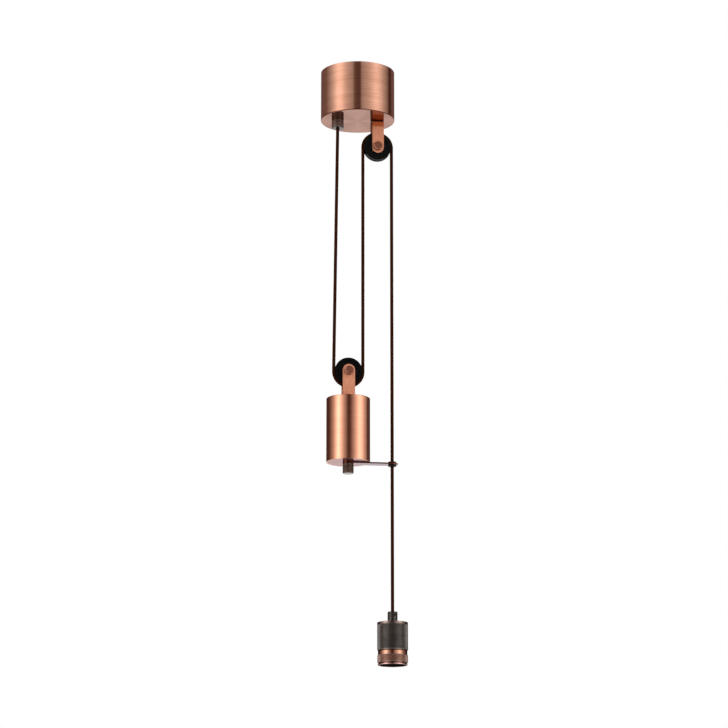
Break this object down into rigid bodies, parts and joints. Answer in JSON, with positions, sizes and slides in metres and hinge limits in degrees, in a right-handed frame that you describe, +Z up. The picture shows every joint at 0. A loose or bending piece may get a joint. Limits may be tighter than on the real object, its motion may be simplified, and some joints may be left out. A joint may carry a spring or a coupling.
{
  "type": "rise and fall pendant",
  "caption": "Ceiling pendant whose bare lampholder is raised and lowered by a counterweight on a cord that runs under one pulley and over another.",
  "frame": {"origin": "on the ceiling plane, at the middle of the canopy and of the bracket's two slots", "axes": "+Z up into the ceiling, the cord and both pulleys lie in the XZ plane, +X from the canopy towards the lampholder"},
  "size_m": [0.1166, 0.1, 0.81],
  "materials": {
    "copper_canopy": "satin",
    "copper_weight": "satin",
    "copper_strap": "satin",
    "copper_plate": "satin",
    "copper_ring": "polished",
    "pewter": "satin",
    "zinc_steel": "satin",
    "raw_brass": "satin",
    "black_moulding": "satin",
    "black_rubber": "satin",
    "heat_moulding": "matte",
    "white_moulding": "matte",
    "washer_moulding": "matte",
    "brown_cord": "matte",
    "brown_core": "matte",
    "blue_core": "matte",
    "earth_core_cover": "matte"
  },
  "bodies": {
    "ceiling": {"ceiling_bracket": "zinc_steel", "canopy_cup": "copper_canopy", "canopy_screws": "copper_canopy", "terminal_block": "white_moulding", "terminal_screws": "raw_brass", "block_screw": "zinc_steel", "earth_screw": "raw_brass", "cord_gland": "pewter", "gland_locknut": "zinc_steel", "cord_tail": "brown_cord", "live_core": "brown_core", "neutral_core": "blue_core", "earth_core": "earth_core_cover", "upper_fork": "copper_strap", "fork_screw": "zinc_steel", "fork_nut": "zinc_steel", "upper_axle": "copper_strap", "upper_axle_nut": "copper_strap", "upper_washers": "washer_moulding", "cord_left_run": "brown_cord", "cord_middle_run": "brown_cord", "cord_upper_turn": "brown_cord", "cord_right_run": "brown_cord"},
    "upper_wheel": {"upper_pulley": "black_moulding", "upper_bush": "raw_brass"},
    "counterweight": {"lower_fork": "copper_strap", "lower_axle": "copper_strap", "lower_axle_nut": "copper_strap", "lower_washers": "washer_moulding", "cord_lower_turn": "brown_cord", "weight_can": "copper_weight", "weight_base_plate": "copper_plate", "weight_discs": "zinc_steel", "weight_rod": "zinc_steel", "rod_top_nut": "zinc_steel", "disc_nut": "zinc_steel", "guide_arm": "copper_strap", "guide_grommet": "black_rubber", "knurled_nut": "pewter"},
    "lower_wheel": {"lower_pulley": "black_moulding", "lower_bush": "raw_brass"},
    "lampholder": {"cord_grip": "pewter", "grip_screw": "pewter", "holder_nipple": "raw_brass", "nipple_nut": "raw_brass", "holder_shell": "pewter", "cord_end": "brown_cord", "holder_cores": "brown_core", "lamp_insert": "heat_moulding", "screw_shell": "raw_brass", "centre_contact": "raw_brass", "side_contact": "raw_brass", "contact_screws": "raw_brass"},
    "ring": {"shade_ring": "copper_ring"}
  },
  "joints": [
    {"name": "weight_slide", "type": "slide", "parent": "ceiling", "child": "counterweight", "axis": [0, 0, 1], "range_m": [-0.06, 0.2], "deforming": ["cord_left_run", "cord_middle_run"]},
    {"name": "lamp_slide", "type": "slide", "parent": "ceiling", "child": "lampholder", "axis": [0, 0, 1], "range_m": [-0.4, 0.12], "deforming": ["cord_right_run"]},
    {"name": "upper_pulley_spin", "type": "hinge", "parent": "ceiling", "child": "upper_wheel", "pos_m": [0.0268, 0, -0.1052], "axis": [0, 1, 0], "continuous": true},
    {"name": "lower_pulley_spin", "type": "hinge", "parent": "counterweight", "child": "lower_wheel", "pos_m": [-0.0124, 0, -0.4196], "axis": [0, 1, 0], "continuous": true},
    {"name": "shade_ring_unscrew", "type": "slide", "parent": "lampholder", "child": "ring", "axis": [0, 0, -1], "range_m": [0, 0.012]}
  ],
  "couplings": [
    {"joint": "lamp_slide", "follows": "weight_slide", "ratio": -2},
    {"joint": "upper_pulley_spin", "follows": "weight_slide", "rad_per_m": 102.04},
    {"joint": "lower_pulley_spin", "follows": "weight_slide", "rad_per_m": -51.02}
  ]
}
